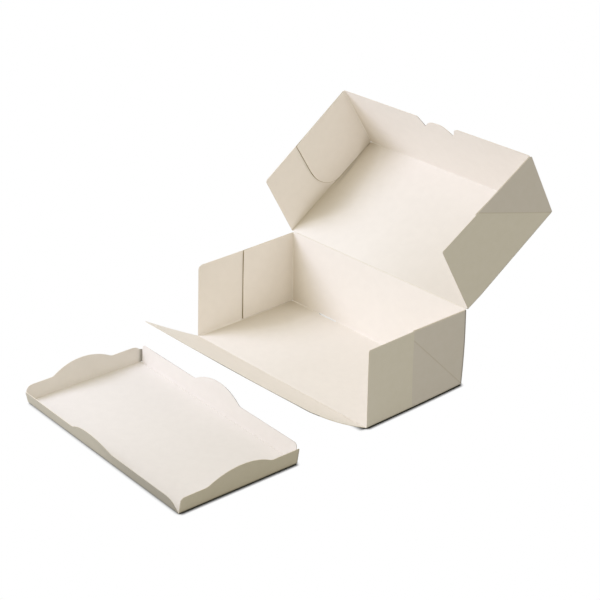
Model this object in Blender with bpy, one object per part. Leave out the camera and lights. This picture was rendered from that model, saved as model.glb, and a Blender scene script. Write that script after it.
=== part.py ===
# Pastry box of folded paperboard: a base with a drop front, a hinged lid with
# pre-glued corners, and a loose serving tray that stands in front of the box.
# Metres, +Z up, +X to the right end, +Y to the hinge side. The origin is the
# middle of the base's underside, on the table.

import math

import bmesh
import bpy
from mathutils import Vector

# Board and the clearances between panels
BOARD = 0.0005              # thickness of the paperboard
SEAM = 0.0003               # gap between panels that meet at a fixed crease
CREASE_PLAY = 0.0004        # extra gap at a crease that turns
OVERRUN = 0.002             # how far a cutter reaches past what it cuts
ROUND_STEP = math.radians(9)    # angle between points on a rounded corner

# Base, outer sizes
BOX_LENGTH = 0.250
BOX_DEPTH = 0.132
BOX_HEIGHT = 0.082          # table to the lid's crease
END_DROP = 0.001            # the end walls stop this far below the lid's crease
END_CORNER_RADIUS = 0.003   # front top corner of each end wall
BASE_FLAP_LENGTH = 0.070    # rear glue flap, back from the outer rear face
SLIT_LENGTH = 0.0265        # slit along the crease of floor and back wall
SLIT_WIDTH = 0.0008
SLIT_OFFSET = 0.068         # middle of the box to the middle of each slit

# Front panel, which folds out and down
PANEL_LENGTH = 0.077
PANEL_CORNER_RADIUS = 0.016
PANEL_ANGLE = math.radians(30)      # above the table, as it stands open

# Lid
LID_OVERHANG = 0.0035       # lid depth beyond the base's depth
LID_WALL_HEIGHT = 0.079
LID_ANGLE = math.radians(31.9)      # above the horizontal, as it stands open
LID_REAR_SETBACK = 0.003    # rear edge of each lid end, from the hinge crease
LID_REAR_RADIUS = 0.0015
LID_FLAP_LENGTH = 0.081     # glue flap, back from the lid's front face
LID_FLAP_RADIUS = 0.033
LOCK_OFFSET = 0.004         # lock tab's middle, to the right of the box's middle
LOCK_ROOT_SPACING = 0.037   # between the roots of the two notches
LOCK_TOP_WIDTH = 0.019      # level top of the tab
LOCK_NOTCH_DEPTH = 0.010
LOCK_NOTCH_FLARE = 0.008    # width of a notch's outer side

# Tray
TRAY_ROOM = 0.0007          # gap to the base's walls when the tray is in the box
TRAY_RIM = 0.016            # height of the tray's walls, along the wall
TRAY_HUMP_RISE = 0.010      # rise of the grip in the middle of each wall
TRAY_HUMP_WIDTH = 0.070
TRAY_HUMP_FILLET = 0.008
TRAY_END_SETBACK = 0.0012   # each wall's foot stops short of the floor's corner
TRAY_LONG_RADIUS = 0.007    # top corners of the two long walls
TRAY_SHORT_RADIUS = 0.003   # top corners of the two short walls
TRAY_END_SLOPE = math.radians(4)    # the walls' ends lean back from the corner
TRAY_LEAN = math.radians(12)        # outward lean of the walls
TRAY_FRONT_LEAN = math.radians(20)  # the front wall leans out further
TRAY_GAP = 0.0075           # from the front panel laid flat to the tray
TRAY_SHIFT = 0.003          # tray's middle, to the right of the box's middle
TRAY_TURN = math.radians(-2.4)

# Looks of the board
BOARD_COLOUR = (0.86, 0.82, 0.76, 1.0)
BOARD_ROUGHNESS = 0.62

# Places worked out from the sizes
HALF_BOARD = BOARD / 2
HALF_LENGTH = BOX_LENGTH / 2
HALF_DEPTH = BOX_DEPTH / 2
INNER_HALF_LENGTH = HALF_LENGTH - BOARD - SEAM      # between the end walls
END_TOP = BOX_HEIGHT - END_DROP
LID_DEPTH = BOX_DEPTH + LID_OVERHANG
LID_HALF_LENGTH = HALF_LENGTH + 2 * (SEAM + BOARD)
LID_INNER_HALF_LENGTH = LID_HALF_LENGTH - BOARD - SEAM
CREASE_START = HALF_BOARD + CREASE_PLAY     # a turning panel starts here, from its axis
DIAGONAL_HALF_GAP = SEAM * math.sqrt(0.5)   # half the gap of a 45 degree crease, along an edge
TRAY_HALF_LENGTH = INNER_HALF_LENGTH - BOARD - TRAY_ROOM
TRAY_HALF_DEPTH = HALF_DEPTH - BOARD - TRAY_ROOM
TRAY_Y = -(HALF_DEPTH + PANEL_LENGTH + TRAY_GAP + TRAY_HALF_DEPTH)

# Turns that stand a flat outline up
FLAT = (0.0, 0.0, 0.0)
FACING_FRONT = (math.pi / 2, 0.0, 0.0)              # outline x, y become X, Z
FACING_END = (math.pi / 2, 0.0, math.pi / 2)        # outline x, y become Y, Z


def clear_scene():
    for item in list(bpy.data.objects):
        bpy.data.objects.remove(item, do_unlink=True)


def make_collection(name):
    collection = bpy.data.collections.new(name)
    bpy.context.scene.collection.children.link(collection)
    return collection


clear_scene()
parts = make_collection("pastry_box")
cutters = make_collection("cutters")


def board_material(name):
    """White carton board: matt, no metal."""
    material = bpy.data.materials.new(name)
    material.use_nodes = True
    shader = material.node_tree.nodes["Principled BSDF"]
    shader.inputs["Base Color"].default_value = BOARD_COLOUR
    shader.inputs["Roughness"].default_value = BOARD_ROUGHNESS
    shader.inputs["Metallic"].default_value = 0.0
    material.diffuse_color = BOARD_COLOUR
    return material


def add_axis(name, location, rotation, parent=None):
    """An empty on a crease's axis, which carries the panels that turn there."""
    axis = bpy.data.objects.new(name, None)
    axis.empty_display_size = BOX_HEIGHT / 4
    axis.location = location
    axis.rotation_euler = rotation
    axis.parent = parent
    parts.objects.link(axis)
    return axis


def arc(centre, radius, start, end):
    """Points on an arc, from the start angle to the end angle."""
    count = max(2, round(abs(end - start) / ROUND_STEP))
    angles = [start + (end - start) * step / count for step in range(count + 1)]
    return [(centre[0] + radius * math.cos(a), centre[1] + radius * math.sin(a)) for a in angles]


def rounded_corner(before, corner, after, radius):
    """The arc that rounds a corner between two straight edges."""
    tip = Vector(corner)
    back = (Vector(before) - tip).normalized()
    ahead = (Vector(after) - tip).normalized()
    half = back.angle(ahead) / 2
    centre = tip + (back + ahead).normalized() * radius / math.sin(half)
    first = tip + back * radius / math.tan(half) - centre
    last = tip + ahead * radius / math.tan(half) - centre
    start = math.atan2(first.y, first.x)
    turn = math.atan2(first.x * last.y - first.y * last.x, first.dot(last))
    return arc(centre, radius, start, start + turn)


def add_plate(name, outline, thickness=BOARD, location=FLAT, rotation=FLAT, parent=None):
    """A flat piece: a closed 2D outline, filled and given its thickness."""
    curve = bpy.data.curves.new(name, "CURVE")
    curve.dimensions = "2D"
    curve.fill_mode = "BOTH"
    curve.extrude = thickness / 2
    spline = curve.splines.new("POLY")
    spline.points.add(len(outline) - 1)
    for point, (x, y) in zip(spline.points, outline):
        point.co = (x, y, 0.0, 1.0)
    spline.use_cyclic_u = True
    plate = bpy.data.objects.new(name, curve)
    plate.location = location
    plate.rotation_euler = rotation
    plate.parent = parent
    curve.materials.append(board_material(name + " board"))
    parts.objects.link(plate)
    return plate


def make_mesh(curve_object):
    """Turn a filled curve into a welded mesh, so that it can be cut."""
    bpy.context.view_layer.update()
    evaluated = curve_object.evaluated_get(bpy.context.evaluated_depsgraph_get())
    mesh = bpy.data.meshes.new_from_object(evaluated)
    shape = bmesh.new()
    shape.from_mesh(mesh)
    bmesh.ops.remove_doubles(shape, verts=shape.verts, dist=BOARD / 100)
    shape.to_mesh(mesh)
    shape.free()
    name = curve_object.name
    matrix = curve_object.matrix_world.copy()
    bpy.data.objects.remove(curve_object, do_unlink=True)
    mesh.name = name
    solid = bpy.data.objects.new(name, mesh)
    solid.matrix_world = matrix
    parts.objects.link(solid)
    return solid


def add_cutter(name, size, location):
    """A box that cuts, and is not part of the object."""
    mesh = bpy.data.meshes.new(name)
    shape = bmesh.new()
    bmesh.ops.create_cube(shape, size=1)
    bmesh.ops.scale(shape, vec=size, verts=shape.verts)
    shape.to_mesh(mesh)
    shape.free()
    cutter = bpy.data.objects.new(name, mesh)
    cutter.location = location
    cutter.display_type = "WIRE"
    cutter.hide_render = True
    cutters.objects.link(cutter)
    return cutter


def cut(solid, cutter):
    boolean = solid.modifiers.new("cut " + cutter.name, "BOOLEAN")
    boolean.operation = "DIFFERENCE"
    boolean.solver = "EXACT"
    boolean.object = cutter


# Base: floor, back wall, end walls with their gussets, and glue flaps

def base_floor():
    """Board with a half-round bead at the front crease and two slits at the back crease."""
    front = -HALF_DEPTH + HALF_BOARD
    back = HALF_DEPTH - BOARD - SEAM
    section = arc((front, HALF_BOARD), HALF_BOARD, 1.5 * math.pi, 0.5 * math.pi)
    section += [(back, BOARD), (back, 0.0)]
    floor = make_mesh(add_plate("base_floor", section, 2 * INNER_HALF_LENGTH, rotation=FACING_END))
    for side, word in ((-1, "left"), (1, "right")):
        size = (SLIT_LENGTH, 2 * SLIT_WIDTH, BOARD + 2 * OVERRUN)
        place = (side * SLIT_OFFSET, back, HALF_BOARD)
        cut(floor, add_cutter(word + " slit", size, place))


def base_back_wall():
    """Upright board, its top edge a half-round bead on the lid's axis."""
    middle = HALF_DEPTH - HALF_BOARD
    section = [(middle - HALF_BOARD, 0.0), (middle + HALF_BOARD, 0.0)]
    section += arc((middle, BOX_HEIGHT), HALF_BOARD, 0.0, math.pi)
    add_plate("base_back_wall", section, 2 * INNER_HALF_LENGTH, rotation=FACING_END)


def base_end(side, word):
    """End wall, split by the 45 degree crease from the rear bottom corner."""
    x = side * (HALF_LENGTH - HALF_BOARD)
    front = -HALF_DEPTH + BOARD + SEAM
    foot = (HALF_DEPTH - DIAGONAL_HALF_GAP, 0.0)
    top = (HALF_DEPTH - DIAGONAL_HALF_GAP - END_TOP, END_TOP)
    corner = (front, END_TOP)
    wall = [(front, 0.0), foot, top]
    wall += rounded_corner(top, corner, (front, 0.0), END_CORNER_RADIUS)
    add_plate(f"base_{word}_end", wall, location=(x, 0.0, 0.0), rotation=FACING_END)
    gusset = [
        (HALF_DEPTH, DIAGONAL_HALF_GAP),
        (HALF_DEPTH, END_TOP),
        (HALF_DEPTH + DIAGONAL_HALF_GAP - END_TOP, END_TOP),
    ]
    add_plate(f"base_{word}_gusset", gusset, location=(x, 0.0, 0.0), rotation=FACING_END)


def base_glue_flap(side, word):
    """Flap on the back wall, glued inside the gusset of the end wall."""
    x = side * (INNER_HALF_LENGTH - HALF_BOARD)
    front = HALF_DEPTH - BASE_FLAP_LENGTH
    back = HALF_DEPTH - BOARD - SEAM
    bottom = BOARD + SEAM
    flap = [(front, bottom), (back, bottom), (back, END_TOP), (front, END_TOP)]
    add_plate(f"base_{word}_glue_flap", flap, location=(x, 0.0, 0.0), rotation=FACING_END)


def front_panel():
    """Drop front, turning on the bead of the floor's front edge."""
    axis = add_axis(
        "front_crease_axis",
        (0.0, -HALF_DEPTH + HALF_BOARD, HALF_BOARD),
        (math.pi - PANEL_ANGLE, 0.0, 0.0),
    )
    near_left = (-HALF_LENGTH, CREASE_START)
    near_right = (HALF_LENGTH, CREASE_START)
    far_left = (-HALF_LENGTH, PANEL_LENGTH)
    far_right = (HALF_LENGTH, PANEL_LENGTH)
    outline = [near_left, near_right]
    outline += rounded_corner(near_right, far_right, far_left, PANEL_CORNER_RADIUS)
    outline += rounded_corner(far_right, far_left, near_left, PANEL_CORNER_RADIUS)
    add_plate("base_front_panel", outline, parent=axis)


# Lid, modelled lying on its panel: +Y from the hinge, +Z into the lid

def lid_panel(axis):
    front = LID_DEPTH - BOARD - SEAM
    half = LID_INNER_HALF_LENGTH
    outline = [(-half, CREASE_START), (half, CREASE_START), (half, front), (-half, front)]
    add_plate("lid_panel", outline, parent=axis)


def lock_outline():
    """Right to left along the lid's free edge: notch, tab with round shoulders, notch."""
    root_height = LID_WALL_HEIGHT - LOCK_NOTCH_DEPTH
    shoulder = (LOCK_ROOT_SPACING - LOCK_TOP_WIDTH) / 2
    half_side = []
    steps = 6
    for step in range(steps + 1):
        turn = math.pi / 2 * step / steps
        x = LOCK_TOP_WIDTH / 2 + shoulder * math.cos(turn)
        half_side.append((x, root_height + LOCK_NOTCH_DEPTH * math.sin(turn)))
    outer = LOCK_ROOT_SPACING / 2 + LOCK_NOTCH_FLARE
    right = [(outer, LID_WALL_HEIGHT)] + half_side
    left = [(-x, z) for x, z in reversed(right)]
    return [(x + LOCK_OFFSET, z) for x, z in right + left]


def lid_front_wall(axis):
    """Front wall with the lock tab cut into its free edge."""
    half = LID_INNER_HALF_LENGTH
    outline = [(-half, -HALF_BOARD), (half, -HALF_BOARD), (half, LID_WALL_HEIGHT)]
    outline += lock_outline()
    outline += [(-half, LID_WALL_HEIGHT)]
    place = (0.0, LID_DEPTH - HALF_BOARD, 0.0)
    add_plate("lid_front_wall", outline, location=place, rotation=FACING_FRONT, parent=axis)


def lid_end(axis, side, word):
    """Lid end, split by the 45 degree crease from the lid's front corner."""
    place = (side * (LID_HALF_LENGTH - HALF_BOARD), 0.0, 0.0)
    bottom = -HALF_BOARD
    run = LID_WALL_HEIGHT - bottom
    foot = (LID_DEPTH - DIAGONAL_HALF_GAP, bottom)
    top = (LID_DEPTH - DIAGONAL_HALF_GAP - run, LID_WALL_HEIGHT)
    rear_foot = (CREASE_START, bottom)
    rear_top = (LID_REAR_SETBACK, LID_WALL_HEIGHT)
    wall = [rear_foot, foot, top]
    wall += rounded_corner(top, rear_top, rear_foot, LID_REAR_RADIUS)
    add_plate(f"lid_{word}_end", wall, location=place, rotation=FACING_END, parent=axis)
    gusset = [
        (LID_DEPTH, bottom + DIAGONAL_HALF_GAP),
        (LID_DEPTH, LID_WALL_HEIGHT),
        (LID_DEPTH + DIAGONAL_HALF_GAP - run, LID_WALL_HEIGHT),
    ]
    add_plate(f"lid_{word}_gusset", gusset, location=place, rotation=FACING_END, parent=axis)


def lid_glue_flap(axis, side, word):
    """Flap on the lid's front wall, glued inside the gusset; one corner is a wide round."""
    place = (side * (LID_INNER_HALF_LENGTH - HALF_BOARD), 0.0, 0.0)
    rear = LID_DEPTH - LID_FLAP_LENGTH
    front = LID_DEPTH - BOARD - SEAM
    bottom = HALF_BOARD + SEAM
    front_foot = (front, bottom)
    rear_top = (rear, LID_WALL_HEIGHT)
    flap = [(front, LID_WALL_HEIGHT), rear_top]
    flap += rounded_corner(rear_top, (rear, bottom), front_foot, LID_FLAP_RADIUS)
    flap += [front_foot]
    add_plate(f"lid_{word}_glue_flap", flap[::-1], location=place, rotation=FACING_END, parent=axis)


def lid():
    axis = add_axis(
        "lid_crease_axis",
        (0.0, HALF_DEPTH - HALF_BOARD, BOX_HEIGHT),
        (LID_ANGLE, 0.0, 0.0),
    )
    lid_panel(axis)
    lid_front_wall(axis)
    for side, word in ((-1, "left"), (1, "right")):
        lid_end(axis, side, word)
        lid_glue_flap(axis, side, word)


# Tray: a floor and four walls that turn on the beads of its edges

def hump_outline():
    """Right to left over the grip: a round back with a fillet at each foot."""
    half = TRAY_HUMP_WIDTH / 2
    radius = (half ** 2 + TRAY_HUMP_RISE ** 2) / (2 * TRAY_HUMP_RISE)
    centre_height = TRAY_RIM + TRAY_HUMP_RISE - radius
    fillet_height = TRAY_RIM + TRAY_HUMP_FILLET
    reach = radius + TRAY_HUMP_FILLET
    tilt = math.asin((fillet_height - centre_height) / reach)
    fillet_x = reach * math.cos(tilt)
    points = arc((fillet_x, fillet_height), TRAY_HUMP_FILLET, -math.pi / 2, tilt - math.pi)
    points += arc((0.0, centre_height), radius, tilt, math.pi - tilt)[1:-1]
    points += arc((-fillet_x, fillet_height), TRAY_HUMP_FILLET, -tilt, -math.pi / 2)
    return points


def tray_wall(tray, quarter, word, half_foot, distance, radius, lean):
    """A wall on its crease; half_foot is half its length, distance is from the middle."""
    turn = quarter * math.pi / 2
    axis = add_axis(
        f"tray_{word}_crease_axis",
        (distance * math.sin(turn), -distance * math.cos(turn), HALF_BOARD),
        (math.pi / 2 + lean, 0.0, turn),
        tray,
    )
    foot = half_foot - TRAY_END_SETBACK
    top = foot - (TRAY_RIM - CREASE_START) * math.tan(TRAY_END_SLOPE)
    outline = [(-foot, CREASE_START), (foot, CREASE_START)]
    outline += rounded_corner((foot, CREASE_START), (top, TRAY_RIM), (0.0, TRAY_RIM), radius)
    outline += hump_outline()
    outline += rounded_corner((0.0, TRAY_RIM), (-top, TRAY_RIM), (-foot, CREASE_START), radius)
    add_plate(f"tray_{word}_wall", outline, parent=axis)


def tray_floor(tray):
    """Board whose four edges are half-round beads, each on the axis of its wall."""
    corners = [
        (-TRAY_HALF_LENGTH, -TRAY_HALF_DEPTH),
        (TRAY_HALF_LENGTH, -TRAY_HALF_DEPTH),
        (TRAY_HALF_LENGTH, TRAY_HALF_DEPTH),
        (-TRAY_HALF_LENGTH, TRAY_HALF_DEPTH),
    ]
    floor = add_plate("tray_floor", corners, location=(0.0, 0.0, HALF_BOARD), parent=tray)
    floor.data.extrude = 0.0
    floor.data.bevel_depth = HALF_BOARD
    floor.data.bevel_resolution = 2


def tray():
    place = add_axis("tray_place", (TRAY_SHIFT, TRAY_Y, 0.0), (0.0, 0.0, TRAY_TURN))
    tray_floor(place)
    tray_wall(place, 0, "front", TRAY_HALF_LENGTH, TRAY_HALF_DEPTH, TRAY_LONG_RADIUS, TRAY_FRONT_LEAN)
    tray_wall(place, 1, "right", TRAY_HALF_DEPTH, TRAY_HALF_LENGTH, TRAY_SHORT_RADIUS, TRAY_LEAN)
    tray_wall(place, 2, "back", TRAY_HALF_LENGTH, TRAY_HALF_DEPTH, TRAY_LONG_RADIUS, TRAY_LEAN)
    tray_wall(place, 3, "left", TRAY_HALF_DEPTH, TRAY_HALF_LENGTH, TRAY_SHORT_RADIUS, TRAY_LEAN)


def build():
    base_floor()
    base_back_wall()
    for side, word in ((-1, "left"), (1, "right")):
        base_end(side, word)
        base_glue_flap(side, word)
    front_panel()
    lid()
    tray()


build()
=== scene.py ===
# Pastry box of folded white paperboard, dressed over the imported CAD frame.
# Sizes in the dictionaries are millimetres and degrees. Meshes are made in metres.
import math

import bpy
import numpy as np
from mathutils import Matrix


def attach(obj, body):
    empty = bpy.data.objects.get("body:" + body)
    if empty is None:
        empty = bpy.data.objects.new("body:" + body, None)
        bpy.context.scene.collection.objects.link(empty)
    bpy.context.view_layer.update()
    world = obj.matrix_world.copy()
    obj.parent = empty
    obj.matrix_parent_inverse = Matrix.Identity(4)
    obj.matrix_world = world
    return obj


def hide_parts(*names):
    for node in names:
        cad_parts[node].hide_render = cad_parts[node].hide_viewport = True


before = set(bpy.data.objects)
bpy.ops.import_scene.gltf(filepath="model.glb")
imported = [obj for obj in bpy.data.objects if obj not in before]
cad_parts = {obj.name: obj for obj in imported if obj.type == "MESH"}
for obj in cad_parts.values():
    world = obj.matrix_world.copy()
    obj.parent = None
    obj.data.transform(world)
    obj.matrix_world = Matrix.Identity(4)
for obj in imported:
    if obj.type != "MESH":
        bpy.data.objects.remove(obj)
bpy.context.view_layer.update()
mm = 0.001
print("frame loaded:", len(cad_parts), "nodes")


# Colours and nodes

def linear(hexColour):
    # sRGB to linear: value / 12.92 when dark, else ((value + 0.055) / 1.055) to the power 2.4
    value = np.array([int(hexColour[k:k + 2], 16) for k in (1, 3, 5)]) / 255
    value = np.where(value <= 0.04045, value / 12.92, ((value + 0.055) / 1.055) ** 2.4)
    return (*value.tolist(), 1.0)


def addNode(tree, kind, settings=None, links=None):
    # settings and links are named by property, input name or input number
    node = tree.nodes.new(kind)
    for key, value in (settings or {}).items():
        if isinstance(key, int) or key in node.inputs:
            node.inputs[key].default_value = value
        else:
            setattr(node, key, value)
    for key, socket in (links or {}).items():
        tree.links.new(socket, node.inputs[key])
    return node


def newTree(name):
    material = bpy.data.materials.new(name)
    material.use_nodes = True
    material.node_tree.nodes.clear()
    return material, material.node_tree


# Folding boxboard: pressed fibre with a white pigment coating on the outer face. Both faces
# are matt and nearly even, with a faint cloudiness from the fibre. A pressed score shows as a
# fine line and a sheet lying on another throws a thin shadow line.
boardLook = {
    # colour and cloud colour. Partly painted shade: the outer faces and the tray get darker colours than the
    # box's inner face, for the shade on the outer faces and the dimmer light on the tray
    "inside": {"box": ("#FAF4ED", "#F8F2EB"), "tray": ("#EFE9E3", "#EDE7E1")},
    "outside": {"box": ("#ECE6DB", "#EAE4D8"), "tray": ("#DED6C4", "#DCD4C1")},
    "scoreTone": "#EFECE6",
    "scoreWidth": 0.9,
    "flapLineColour": "#A59468",
    "flapLineWidth": 0.5,
    # painted shade on the outer face where a glued flap behind it lets less light through
    "flapShadeTone": "#F7F6FB",  # outer face where a flap is glued behind it
    "shadeTone": "#5E5A52",     # folds and cut edges in deep shade
    "cornerTone": "#C4BBA6",    # inner creases on the left, turned away from the light
    "coreColour": "#F2EADC",
    "coreBand": "#E2D6C2",
    "cloudSize": 9.0,       # clouds of fibre
    "grainSize": 0.9,       # fibre grain, drawn coarser than the real 0.2 mm so that it shows
    "cockleSize": 60.0,     # slow waviness of the sheet
    "cockleHeight": 0.25,
    "roughness": 0.6,
    "innerRougher": 0.08,   # added to the roughness
    "outerRougher": -0.1,
    "flapEdge": 0.4,        # half width of the step from one sheet to two, mm
    "edgeFibreSize": 1.2,   # fibre in the cut edge, drawn coarser than the real 0.2 mm
    "scoreDepth": 0.12,
    "grainDepth": 0.03,
    "edgeFibreDepth": 0.05,
}


def markShare(tree, mark, inner, outer, bothSides=False):
    # Share of a mark: one at the inner distance, falling smoothly to nought at the outer one
    distance = addNode(tree, "ShaderNodeAttribute", {"attribute_name": mark}).outputs["Fac"]
    if bothSides:
        distance = addNode(tree, "ShaderNodeMath", {"operation": "ABSOLUTE"}, {0: distance}).outputs[0]
    settings = {"interpolation_type": "SMOOTHSTEP", 1: inner, 2: outer, 3: 1.0, 4: 0.0}
    return addNode(tree, "ShaderNodeMapRange", settings, {0: distance}).outputs[0]


def shaded(tree, mark, tone, under):
    share = addNode(tree, "ShaderNodeAttribute", {"attribute_name": mark}).outputs["Fac"]
    return tinted(tree, share, tone, under, "MULTIPLY")


def tinted(tree, share, colour, under, blend="MIX"):
    return addNode(tree, "ShaderNodeMix", {"data_type": "RGBA", "blend_type": blend, 7: linear(colour)},
                   {0: share, 6: under}).outputs[2]


def paperboardMaterial(blank, inner, look):
    # The coated outer face is a little smoother
    base, cloud = look["inside" if inner else "outside"][blank]
    roughness = look["roughness"] + look["innerRougher" if inner else "outerRougher"]
    face = "uncoated inner" if inner else "coated outer"
    material, tree = newTree(f"{face} face of white boxboard, {blank}")
    place = addNode(tree, "ShaderNodeTexCoord").outputs["Object"]
    clouds = addNode(tree, "ShaderNodeTexNoise",
                     {"Scale": 1 / (look["cloudSize"] * mm), "Detail": 3.0, "Roughness": 0.6},
                     {"Vector": place})
    cloudShare = addNode(tree, "ShaderNodeMapRange", {1: 0.35, 2: 0.65}, {0: clouds.outputs["Fac"]})
    colour = addNode(tree, "ShaderNodeMix", {"data_type": "RGBA", 6: linear(base), 7: linear(cloud)},
                     {0: cloudShare.outputs[0]}).outputs[2]
    scoreShare = markShare(tree, "scoreDistance", 0.0, look["scoreWidth"], True)
    if inner:
        line = markShare(tree, "flapLine", 0.0, look["flapLineWidth"])
        colour = tinted(tree, line, look["flapLineColour"], colour)
        colour = shaded(tree, "cornerShade", look["cornerTone"], colour)
    else:
        # painted shade: over a glued flap the board is two sheets thick and lets less light through, so the
        # outer face is tinted darker there
        overFlapShade = markShare(tree, "flapDistance", look["flapEdge"], -look["flapEdge"])
        colour = tinted(tree, overFlapShade, look["flapShadeTone"], colour, "MULTIPLY")
        colour = tinted(tree, scoreShare, look["scoreTone"], colour, "MULTIPLY")
    colour = shaded(tree, "deepShade", look["shadeTone"], colour)
    grain = addNode(tree, "ShaderNodeTexNoise",
                    {"Scale": 1 / (look["grainSize"] * mm), "Detail": 4.0, "Roughness": 0.65},
                    {"Vector": place})
    cockle = addNode(tree, "ShaderNodeTexNoise",
                     {"Scale": 1 / (look["cockleSize"] * mm), "Detail": 1.0},
                     {"Vector": place})
    scoreBump = addNode(tree, "ShaderNodeBump", {"Strength": 0.5, "Distance": look["scoreDepth"] * mm},
                        {"Height": scoreShare})
    grainBump = addNode(tree, "ShaderNodeBump", {"Strength": 0.35, "Distance": look["grainDepth"] * mm},
                        {"Height": grain.outputs["Fac"], "Normal": scoreBump.outputs[0]})
    cockleBump = addNode(tree, "ShaderNodeBump", {"Strength": 0.4, "Distance": look["cockleHeight"] * mm},
                         {"Height": cockle.outputs["Fac"], "Normal": grainBump.outputs[0]})
    gloss = addNode(tree, "ShaderNodeMapRange",
                    {1: 0.3, 2: 0.7, 3: roughness - 0.05, 4: roughness + 0.05},
                    {0: grain.outputs["Fac"]})
    shader = addNode(tree, "ShaderNodeBsdfPrincipled", {"IOR": 1.45, "Metallic": 0.0},
                     {"Base Color": colour, "Roughness": gloss.outputs[0], "Normal": cockleBump.outputs[0]})
    addNode(tree, "ShaderNodeOutputMaterial", {}, {"Surface": shader.outputs[0]})
    return material


def boardCoreMaterial(look):
    # Die-cut edge: the bare fibre core, rough, with faint plies
    material, tree = newTree("die-cut board core")
    place = addNode(tree, "ShaderNodeTexCoord").outputs["Object"]
    fibre = addNode(tree, "ShaderNodeTexNoise",
                    {"Scale": 1 / (look["edgeFibreSize"] * mm), "Detail": 4.0, "Roughness": 0.7},
                    {"Vector": place})
    tint = addNode(tree, "ShaderNodeMix",
                   {"data_type": "RGBA", 6: linear(look["coreColour"]), 7: linear(look["coreBand"])},
                   {0: fibre.outputs["Fac"]})
    bump = addNode(tree, "ShaderNodeBump", {"Strength": 0.5, "Distance": look["edgeFibreDepth"] * mm},
                   {"Height": fibre.outputs["Fac"]})
    shader = addNode(tree, "ShaderNodeBsdfPrincipled", {"IOR": 1.45, "Roughness": 0.85},
                     {"Base Color": shaded(tree, "deepShade", look["shadeTone"], tint.outputs[2]),
                      "Normal": bump.outputs[0]})
    addNode(tree, "ShaderNodeOutputMaterial", {}, {"Surface": shader.outputs[0]})
    return material


boardCore = boardCoreMaterial(boardLook)
boards = {blank: (paperboardMaterial(blank, True, boardLook), paperboardMaterial(blank, False, boardLook),
                  boardCore) for blank in ("box", "tray")}
print("materials made")


# Shapes

sheetSettings = {
    "thickness": 0.5,
    "spacing": 1.6,         # between grid points along a straight run
    "cutRound": 0.12,       # roundness of a cut edge, against one for a folded edge
    "rimSteps": 6,          # angles from face to face round an edge
    "sharpAngle": 50.0,
    # how far a sheet's end stays off the crease line of the lid and of the front panel, to leave its
    # round edge room to turn. At the lid's far limit the edges still meet.
    "hingeRoom": 0.38,
    "panelRoom": 0.36,
}
halfBoard = sheetSettings["thickness"] / 2


def foldedPath(corners, radius, spacing):
    # Straight runs joined by arcs. A corner of turn a takes radius * tan(a / 2) off both runs, and the
    # arc's points are centre + radius * (cos, sin). Also returns where each point is: the number of its
    # run, with values in between on an arc.
    corners = np.array(corners, float)
    points, where = [], []
    start = corners[0]
    for k in range(1, len(corners) - 1):
        before = corners[k - 1] - corners[k]
        after = corners[k + 1] - corners[k]
        before, after = before / np.linalg.norm(before), after / np.linalg.norm(after)
        half = np.arccos(np.clip(before @ after, -1, 1)) / 2
        trim = radius / np.tan(half)
        centre = corners[k] + (before + after) / np.linalg.norm(before + after) * radius / np.sin(half)
        first, last = corners[k] + before * trim, corners[k] + after * trim
        count = max(2, int(np.linalg.norm(first - start) / spacing))
        share = np.linspace(0, 1, count + 1)
        points.append(start + (first - start) * share[:, None])
        where.append(np.full(count + 1, k - 1.0))
        turn = np.linspace(0, 1, 9)[1:-1]
        angle = np.arctan2(*(first - centre)[::-1])
        sweep = (np.arctan2(*(last - centre)[::-1]) - angle + np.pi) % (2 * np.pi) - np.pi
        points.append(centre + radius * np.stack([np.cos(angle + sweep * turn),
                                                  np.sin(angle + sweep * turn)], axis=1))
        where.append(k - 1 + turn)
        start = last
    count = max(2, int(np.linalg.norm(corners[-1] - start) / spacing))
    share = np.linspace(0, 1, count + 1)
    points.append(start + (corners[-1] - start) * share[:, None])
    where.append(np.full(count + 1, len(corners) - 2.0))
    return np.concatenate(points), np.concatenate(where)


def cornerRise(distance, radius):
    # How far a corner of this radius has come in at a distance from the corner: radius minus the root
    # of radius squared minus (radius - distance) squared, and nought past the radius
    inner = np.clip(radius - distance, 0, radius)
    return radius - np.sqrt(np.maximum(radius ** 2 - inner ** 2, 0))


def unit(vectors):
    return vectors / np.maximum(np.linalg.norm(vectors, axis=-1, keepdims=True), 1e-12)


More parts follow.
